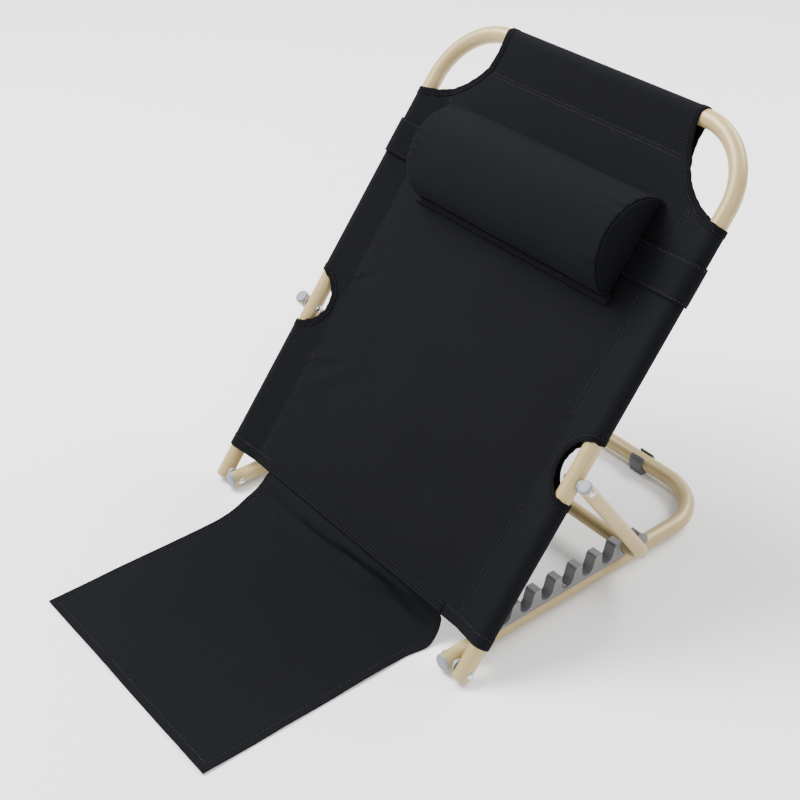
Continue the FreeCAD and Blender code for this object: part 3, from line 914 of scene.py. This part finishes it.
def flap_column(share):
    """One side view of the flap, a share of the way from its left edge to its right."""
    left, right = (curve_through(edge, 160) for edge in (FLAP_LEFT, FLAP_RIGHT))
    drop = left * (1 - share) + right * share + np.array([PIVOT[1], 0.0])
    join = np.argmax(drop[:, 1] < FLAP_JOIN_Z)
    gap = (drop[join - 1, 1] - FLAP_JOIN_Z) / (drop[join - 1, 1] - drop[join, 1])
    seam = drop[join - 1] + gap * (drop[join] - drop[join - 1])
    upper = spaced(np.concatenate([drop[:join], [seam]]), UPPER_ROWS)
    lower = spaced(np.concatenate([[seam], drop[join:]]), 44)
    floor_run = drop[-1, 0] - FLAP_FRONT_Y
    even = np.linspace(0, floor_run - HEM_STEPS[-1], 48)[1:-1]
    run = np.concatenate([even, floor_run - HEM_STEPS[::-1]])
    floor = np.c_[drop[-1, 0] - run, np.full(len(run), drop[-1, 1])]
    return np.concatenate([upper, lower[1:], floor])


def flap_lines():
    """Lines down the flap: close together over each side hem, even between."""
    width = 2 * FLAP_HALF
    first = HEM_STEPS[-1] + FLAP_SPACING
    middle = np.arange(first, width - HEM_STEPS[-1] - FLAP_SPACING / 2, FLAP_SPACING)
    return np.concatenate([HEM_STEPS, middle, width - HEM_STEPS[::-1]]) - FLAP_HALF


def flap_grid(lines):
    """The flap's middle surface in rows from the hem down. UPPER_ROWS of them end at the
    line where it starts to bend with the back."""
    columns = [flap_column(float(smooth((x / FLAP_HALF + 0.9) / 1.9))) for x in lines]
    side_view = np.stack(columns, axis=1)
    x = np.broadcast_to(lines, side_view.shape[:2])
    return np.concatenate([x[..., None], side_view], axis=-1)


def flap_relief(grid):
    """Soft waves in the drop, a bulge at the right of its foot, and hems along the edges."""
    x, y, z = grid[..., 0], grid[..., 1], grid[..., 2]
    drop = smooth((z - 0.0008) / 0.010) * smooth((FLAP_HEM_Z - z) / 0.010)
    y = y - FLAP_SWAY * flap_slack(x, y * 1.6 + z) * drop
    uneven = 0.8 + 0.3 * flap_slack(x + 0.4, x * 0.3)
    loose = smooth((0.11 - x) / 0.12) * uneven
    y = y + loose * FLAP_TROUGH * np.exp(-(((z - FLAP_JOIN_Z) / 0.0045) ** 2))
    y = y - loose * 0.5 * FLAP_TROUGH * np.exp(-(((z - FLAP_BULGE_Z) / 0.0040) ** 2))
    on_floor = smooth((0.004 - z) / 0.003)
    z = z + FLAP_RIPPLE * smooth(0.35 + 0.5 * floor_slack(x, y)) * on_floor
    to_side = FLAP_HALF - np.abs(x)
    to_edge = np.minimum(to_side, np.maximum(y - FLAP_FRONT_Y, 0.0))
    fold = smooth((FLAP_HEM - to_edge) / 0.0012)
    groove = np.exp(-((to_edge - FLAP_HEM + 0.0004) / 0.0007) ** 2)
    z = z + 0.0004 * fold - 0.00025 * groove
    foot = smooth((x - 0.06) / 0.09) * smooth(1 - np.abs(y - PIVOT[1] - 0.002) / 0.03)
    return np.stack([x + FLAP_FOOT_SHIFT * foot, y, z], axis=-1)


flap_x = flap_lines()
flap_drawn = flap_grid(flap_x)
flap_points = flap_relief(flap_drawn)
flap_way = [np.gradient(flap_points, axis=axis) for axis in (0, 1)]
flap_normals = unit(np.cross(*flap_way))


class FlapPart:
    """One of the flap's two sheets, made from a run of its rows. Its normals are those of
    the whole flap, so that the two shade alike along their joint."""

    def __init__(self, rows, start):
        self.points, self.normals = flap_points[rows], flap_normals[rows]
        self.down = measured(flap_drawn[rows, len(flap_x) // 2])
        self.length = self.down[-1]
        self.start = start

    def sheet(self, name):
        """The part as a closed mesh."""
        rows, count = self.points.shape[:2]
        offset = self.normals * FLAP_THICKNESS / 2
        number = np.arange(rows * count).reshape(rows, count)
        rim = [number[:, 0], number[-1], number[::-1, -1], number[0, ::-1]]
        quads = grid_faces(rows, count)
        faces = [face[::-1] for face in quads]
        faces += [tuple(index + rows * count for index in face) for face in quads]
        for line in rim:
            for a, b in zip(line[:-1], line[1:]):
                faces.append((b, a, a + rows * count, b + rows * count))
        flat = np.stack(np.meshgrid(flap_x, -self.down - self.start), axis=-1).reshape(-1, 2)
        both = np.concatenate([self.points + offset, self.points - offset]).reshape(-1, 3)
        sheet = new_piece(name, both, faces, canvas, np.concatenate([flat, flat]))
        shading = np.concatenate([self.normals, -self.normals]).reshape(-1, 3)
        sheet.data.normals_split_custom_set_from_vertices(shading.tolist())
        return sheet

    def place(self, flat):
        """Places points (X, distance down the part) on its upper face."""
        i = np.interp(flat[:, 1], self.down, np.arange(len(self.down)))
        j = np.interp(flat[:, 0], flap_x, np.arange(len(flap_x)))
        k = np.minimum(i.astype(int), len(self.down) - 2)
        m = np.minimum(j.astype(int), len(flap_x) - 2)
        f, g = (i - k)[:, None], (j - m)[:, None]
        points, normal = self.points, self.normals[k, m]
        high = points[k, m] * (1 - g) + points[k, m + 1] * g
        low = points[k + 1, m] * (1 - g) + points[k + 1, m + 1] * g
        return high * (1 - f) + low * f + normal * FLAP_THICKNESS / 2, normal

    def seams(self, name, front=0.0):
        """A row of stitching down each side hem, and one along a front hem of that depth."""
        side, stop = FLAP_HALF - FLAP_HEM, self.length - front
        rows = [[(x, 0.0), (x, stop)] for x in (-side, side)]
        if front:
            rows.append([(-side, stop), (side, stop)])
        return stitches(name, rows, self.place)


upper = FlapPart(slice(0, UPPER_ROWS), 0.0)
lower = FlapPart(slice(UPPER_ROWS - 1, None), upper.length)
flap_upper = upper.sheet("flap_upper")
flap_lower = lower.sheet("seat_flap_cloth")
upper_row = upper.seams("flap_upper_stitching")
lower_row = lower.seams("flap_stitching", FLAP_HEM)
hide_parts("seat_flap")
for piece in (flap_upper, upper_row):
    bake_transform(piece)
for piece in (flap_lower, lower_row):
    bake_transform(piece)


# ---- the pillow ----
END_SEAM = 0.0035
SEAM_DEPTH = 0.0024
LUMPS = 0.0003
GATHER = 0.0015
GATHER_PITCH = 0.0155
EAR = 0.0040
pillow_slack = waves(17, 8, 0.05, 0.20)
gather_phase = waves(23, 5, 0.05, 0.11)


def baked(piece):
    """The piece's mesh with its modifiers worked in."""
    graph = bpy.context.evaluated_depsgraph_get()
    mesh = bpy.data.meshes.new_from_object(piece.evaluated_get(graph))
    piece.modifiers.clear()
    piece.data = mesh


def mesh_points(mesh):
    flat = np.empty(len(mesh.vertices) * 3)
    mesh.vertices.foreach_get("co", flat)
    return flat.reshape(-1, 3)


def in_back(points):
    """Frame points as (across, up, out) on the back."""
    return np.stack([(points - PIVOT) @ way for way in (ACROSS, UP, OUT)], axis=1)


def pinned_points(points):
    """The points that the cloth's seams hold: the flat back, and the outline of each end."""
    local = in_back(points)
    to_end = PILLOW_HALF - np.abs(local[:, 0])
    around = np.hypot(local[:, 1] - PILLOW_UP, local[:, 2] - PILLOW_BACK)
    on_base = local[:, 2] < PILLOW_BACK + 0.005
    on_outline = (to_end < 0.006) & (around > PILLOW_R - 0.006)
    return np.nonzero(on_base | on_outline)[0].tolist()


def inflate(piece):
    """Blows the piece up as cloth about its pinned seams. No point moves past the limit."""
    before = mesh_points(piece.data)
    pins = piece.vertex_groups.new(name="pinned")
    pins.add(pinned_points(before), 1.0, "REPLACE")
    cloth = piece.modifiers.new("cloth", "CLOTH")
    cloth.settings.use_pressure = True
    cloth.settings.uniform_pressure_force = PILLOW_PRESSURE
    cloth.settings.vertex_group_mass = "pinned"
    cloth.settings.effector_weights.gravity = 0.0
    cloth.point_cache.frame_start = 1
    cloth.point_cache.frame_end = PILLOW_FRAMES
    for number in range(1, PILLOW_FRAMES + 1):
        bpy.context.scene.frame_set(number)
    graph = bpy.context.evaluated_depsgraph_get()
    after = mesh_points(piece.evaluated_get(graph).data)
    move = after - before
    reach = np.maximum(np.linalg.norm(move, axis=1, keepdims=True), 1e-9)
    piece.modifiers.remove(cloth)
    piece.vertex_groups.clear()
    limited = before + move * np.minimum(1.0, PILLOW_SWELL / reach)
    piece.data.vertices.foreach_set("co", limited.ravel())
    bpy.context.scene.frame_set(1)


def pillow_relief(piece):
    """End seams sunk in, gathers fading away from them, soft lumps, and two small ears."""
    mesh = piece.data
    points = mesh_points(mesh)
    normals = np.empty(len(points) * 3)
    mesh.vertex_normals.foreach_get("vector", normals)
    normals = normals.reshape(-1, 3)
    local = in_back(points)
    across, up, out = local[:, 0], local[:, 1] - PILLOW_UP, local[:, 2] - PILLOW_BACK
    arc = np.arctan2(up, np.maximum(out, 1e-6)) * PILLOW_R
    to_end = PILLOW_HALF - np.abs(across)
    curved = smooth((np.abs(normals @ ACROSS) - 0.75) / -0.2) * smooth((out - 0.003) / 0.004)
    seam = np.exp(-((to_end - END_SEAM) / 0.0013) ** 2)
    fade = np.exp(-np.maximum(to_end - END_SEAM, 0.0) / 0.015)
    side = np.where(across < 0, 1.0, 2.0)
    phase = 3.0 * gather_phase(arc, side)
    strength = 0.6 + 0.4 * np.sin(arc * math.tau / 0.071 + 2.1 * side)
    gathers = np.sin(arc * math.tau / GATHER_PITCH + phase) * strength * fade
    lumps = pillow_slack(across, arc) * smooth(to_end / 0.03)
    height = LUMPS * lumps + GATHER * gathers - SEAM_DEPTH * seam
    moved = points + normals * (height * curved)[:, None]
    for sign, size in ((1.0, EAR), (-1.0, EAR * 0.55)):
        corner = np.array([sign * PILLOW_HALF, PILLOW_UP + PILLOW_R, PILLOW_BACK + 0.004])
        near = np.exp(-(np.linalg.norm(local - corner, axis=1) / 0.0075) ** 2)
        pull = 0.7 * UP + sign * 0.7 * ACROSS
        moved = moved + np.outer(near, pull) * size
    mesh.vertices.foreach_set("co", moved.ravel())
    on_end = np.abs(normals @ ACROSS) > 0.8
    set_weave(mesh, np.c_[np.where(on_end, out, across), np.where(on_end, up, arc)])
    mesh.update()


def fill_out(mesh):
    """Stretches the foam's skin to just inside the cover, before it is blown up."""
    local = in_back(mesh_points(mesh))
    foot = local[:, 2].min()
    grown = np.array([PILLOW_HALF, PILLOW_R, PILLOW_R]) - PILLOW_INSET
    size = np.array([local[:, 0].max(), local[:, 1].max() - PILLOW_UP, local[:, 2].max() - foot])
    stretched = (local - np.array([0.0, PILLOW_UP, foot])) * grown / size
    stretched = stretched + np.array([0.0, PILLOW_UP, PILLOW_BACK + PILLOW_INSET])
    placed = on_back(*stretched.T)
    mesh.vertices.foreach_set("co", placed.ravel())


def pillow_piece():
    """The stuffed pillow: its foam's skin, remeshed, blown up as cloth and seamed."""
    piece = linked("pillow", frame["nodes"]["pillow_core"].data.copy())
    fill_out(piece.data)
    even = piece.modifiers.new("even", "REMESH")
    even.mode = "VOXEL"
    even.voxel_size = PILLOW_VOXEL
    baked(piece)
    inflate(piece)
    finer = piece.modifiers.new("finer", "SUBSURF")
    finer.levels = finer.render_levels = 2
    baked(piece)
    pillow_relief(piece)
    piece.data.materials.clear()
    piece.data.materials.append(pillow_canvas)
    shade_smooth(piece.data)
    return piece


def on_pillow_foot(flat):
    """Points just in front of the pillow's back plane."""
    placed = on_back(flat[:, 0], flat[:, 1], PILLOW_BACK + LIP_HEIGHT)
    return placed, np.broadcast_to(OUT, placed.shape)


def pillow_lip():
    """The flat seam allowance that stands out along the pillow's lower edge."""
    low = PILLOW_UP - PILLOW_R - LIP_REACH
    path = straight((-PILLOW_HALF, low), (PILLOW_HALF, low))
    turn = path[:, 0] * math.tau
    path[:, 1] += 0.0005 * np.sin(turn / 0.041) * np.sin(turn / 0.017)
    section = binding_section(LIP_REACH + 0.006, LIP_LIFT)
    return swept("pillow_lip", path, section, pillow_canvas, on_pillow_foot)


pillow = pillow_piece()
lip = pillow_lip()
row_half = PILLOW_HALF - 0.003
row_up = PILLOW_UP - PILLOW_R - 0.0012
lip_row = stitches(
    "pillow_lip_stitching",
    [[(-row_half, row_up), (row_half, row_up)]],
    lambda flat: (on_pillow_foot(flat)[0] + OUT * LIP_LIFT, on_pillow_foot(flat)[1]),
)
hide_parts("pillow_cover", "pillow_core")
for piece in (pillow, lip, lip_row):
    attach(piece, "pillow")


# ---- the pillow's strap ----
def strap_path():
    """The strap's closed middle line (across, out): over the sling, round both sleeves, behind."""
    reach = np.arange(-side_sleeve.run_in, side_sleeve.at_turn(math.pi), 0.0016)
    across, out, normal_across, normal_out = side_sleeve.at(reach)
    lift = STRAP_LIFT + (STRAP_LIFT_FLAT - STRAP_LIFT) * smooth(-reach / side_sleeve.run_in)
    side = np.c_[across + normal_across * lift, out + normal_out * lift]
    low = -(side_sleeve.radius + STRAP_LIFT)
    back = straight((TUBE_X, low), (-TUBE_X, low), 0.006)
    left = mirrored(side)
    front = straight(left[-1], side[0], 0.006)
    return np.concatenate([side, back, left, front[1:-1]])


def strap_piece():
    path = strap_path()
    along = measured(np.concatenate([path, path[:1]]))
    low, high = strap_span
    rows = np.linspace(low, high, 19)
    edge = np.minimum(rows - low, high - rows)
    roll = -0.0002 * np.exp(-((edge - STRAP_SEAM) / 0.0012) ** 2)
    normal = to_left(np.gradient(np.concatenate([path[-1:], path, path[:1]]), axis=0)[1:-1])
    rings = [path + normal * dip for dip in roll]
    points = [on_back(ring[:, 0], up, ring[:, 1]) for up, ring in zip(rows, rings)]
    weave = np.stack(np.meshgrid(along[:-1], rows), axis=-1).reshape(-1, 2)
    faces = [face[::-1] for face in grid_faces(len(rows), len(path), wrap_columns=True)]
    piece = new_piece("strap", np.concatenate(points), faces, strap_canvas, weave)
    thicken(piece, STRAP_CLOTH)

    def place(flat):
        """Points (distance along the strap, up) on the strap's outer face."""
        stand = sampled(path, flat[:, 0], normal)
        face = sampled(path, flat[:, 0]) + stand * STRAP_CLOTH / 2
        placed = on_back(face[:, 0], flat[:, 1], face[:, 1])
        return placed, np.outer(stand[:, 0], ACROSS) + np.outer(stand[:, 1], OUT)

    ups = (low + STRAP_SEAM, high - STRAP_SEAM)
    row = stitches("strap_stitching", [[(0.0, up), (along[-2], up)] for up in ups], place)
    return piece, row, along[-1]


strap, strap_row, strap_length = strap_piece()
for piece in (strap, strap_row):
    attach(piece, "pillow")
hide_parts("pillow_strap")


# ---- the hooks behind the racks' last notches ----
# Side view as (Y from the front pivot, Z). Its front stands off the crossbar's swing.
HOOK_PROFILE = [
    (0.2615, 0.0236), (0.2615, 0.0304), (0.2660, 0.0339), (0.2700, 0.0371), (0.2728, 0.0400),
    (0.2752, 0.0404), (0.2772, 0.0388), (0.2800, 0.0330), (0.2830, 0.0285), (0.2880, 0.0252),
    (0.2880, 0.0236),
]


def rack_hook(name):
    """The upright hook that closes a rack's last notch."""
    low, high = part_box("rack_" + name)
    points = [(x, PIVOT[1] + y, z) for x in (low.x, high.x) for y, z in HOOK_PROFILE]
    count = len(HOOK_PROFILE)
    faces = [(i, (i + 1) % count, (i + 1) % count + count, i + count) for i in range(count)]
    mesh = bpy.data.meshes.new("rack_end_hook_" + name)
    mesh.from_pydata(points, [], faces + [tuple(range(count))[::-1], tuple(range(count, 2 * count))])
    hook = linked("rack_end_hook_" + name, mesh)
    mesh.materials.append(CAD_FINISHES["rack_plastic"])
    rounded(hook, 0.0009)
    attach(hook, "base")


def rounded(piece, width):
    """Softens a moulded piece's hard edges."""
    bevel = piece.modifiers.new("rounded", "BEVEL")
    bevel.width = width
    bevel.segments = 3
    bevel.limit_method = "ANGLE"
    bevel.angle_limit = math.radians(35)


for name, _ in SIDES:
    rack_hook(name)


# ---- camera, light and floor ----
CAMERA_AZIMUTH = math.radians(50.95)
CAMERA_ELEVATION = math.radians(34.7)
CAMERA_DISTANCE = 1.497
CAMERA_LENS = 64.13
WORLD_LIGHT = 0.85
FLOOR_HALF = 6.0
FLOOR_DROP = 0.0002
CAMERA_AIM = (Vector(cad_low) + Vector(cad_high)) / 2 + Vector((0.0287, -0.0009, -0.0335))


def add_camera():
    turned = Matrix.Rotation(CAMERA_AZIMUTH, 3, "Z")
    back = turned @ Vector((0.0, -math.cos(CAMERA_ELEVATION), math.sin(CAMERA_ELEVATION)))
    camera = linked("camera", bpy.data.cameras.new("camera"))
    camera.data.lens = CAMERA_LENS
    camera.location = CAMERA_AIM + back * CAMERA_DISTANCE
    camera.rotation_euler = (-back).to_track_quat("-Z", "Y").to_euler()
    bpy.context.scene.camera = camera


def add_softbox(name, place, size, power):
    light = bpy.data.lights.new(name, "AREA")
    light.shape = "RECTANGLE"
    light.size, light.size_y = size
    light.energy = power
    lamp = linked(name, light)
    lamp.location = place
    lamp.rotation_euler = (Vector((0, 0, 0.2)) - Vector(place)).to_track_quat("-Z", "Y").to_euler()


def add_studio():
    world = bpy.data.worlds.new("studio")
    world.use_nodes = True
    background = world.node_tree.nodes["Background"].inputs
    background["Color"].default_value = (1.0, 1.0, 1.0, 1.0)
    background["Strength"].default_value = WORLD_LIGHT
    bpy.context.scene.world = world
    add_softbox("key", (-1.5, -0.7, 2.7), (2.0, 1.6), 235)
    add_softbox("fill", (2.4, -0.8, 1.6), (1.6, 1.6), 22)
    add_softbox("rim", (0.4, 2.4, 2.2), (2.4, 1.2), 110)
    corners = np.array([(-1, -1), (1, -1), (1, 1), (-1, 1)]) * FLOOR_HALF
    corners = np.c_[corners, np.full(4, -FLOOR_DROP)]
    made = Finish("floor_white", {"Specular IOR Level": 0.2})
    mottle = made.noise(made.object_place(), 3.0)
    tone = made.mapped(mottle, 0.995, 1.005)
    made.feed(colour=made.shade((0.92, 0.92, 0.92), tone), roughness=made.mapped(mottle, 0.7, 0.8))
    floor = new_piece("floor", corners, [(0, 1, 2, 3)], made.material)


# ---- the CAD nodes that show ----
MOULDED = {"rack_plastic": 0.0007, "glide_plastic": 0.0005}


def finish_cad_nodes():
    slots = {row["node"]: row["material_slot"] for row in frame["record"]["subparts"]}
    for name, node in frame["nodes"].items():
        finish = CAD_FINISHES.get(slots[name])
        if finish is None:
            continue
        node.data.materials.clear()
        node.data.materials.append(finish)
        if slots[name] in MOULDED:
            node.modifiers.new("joined", "WELD").merge_threshold = 1e-5
            rounded(node, MOULDED[slots[name]])


add_camera()
add_studio()
finish_cad_nodes()
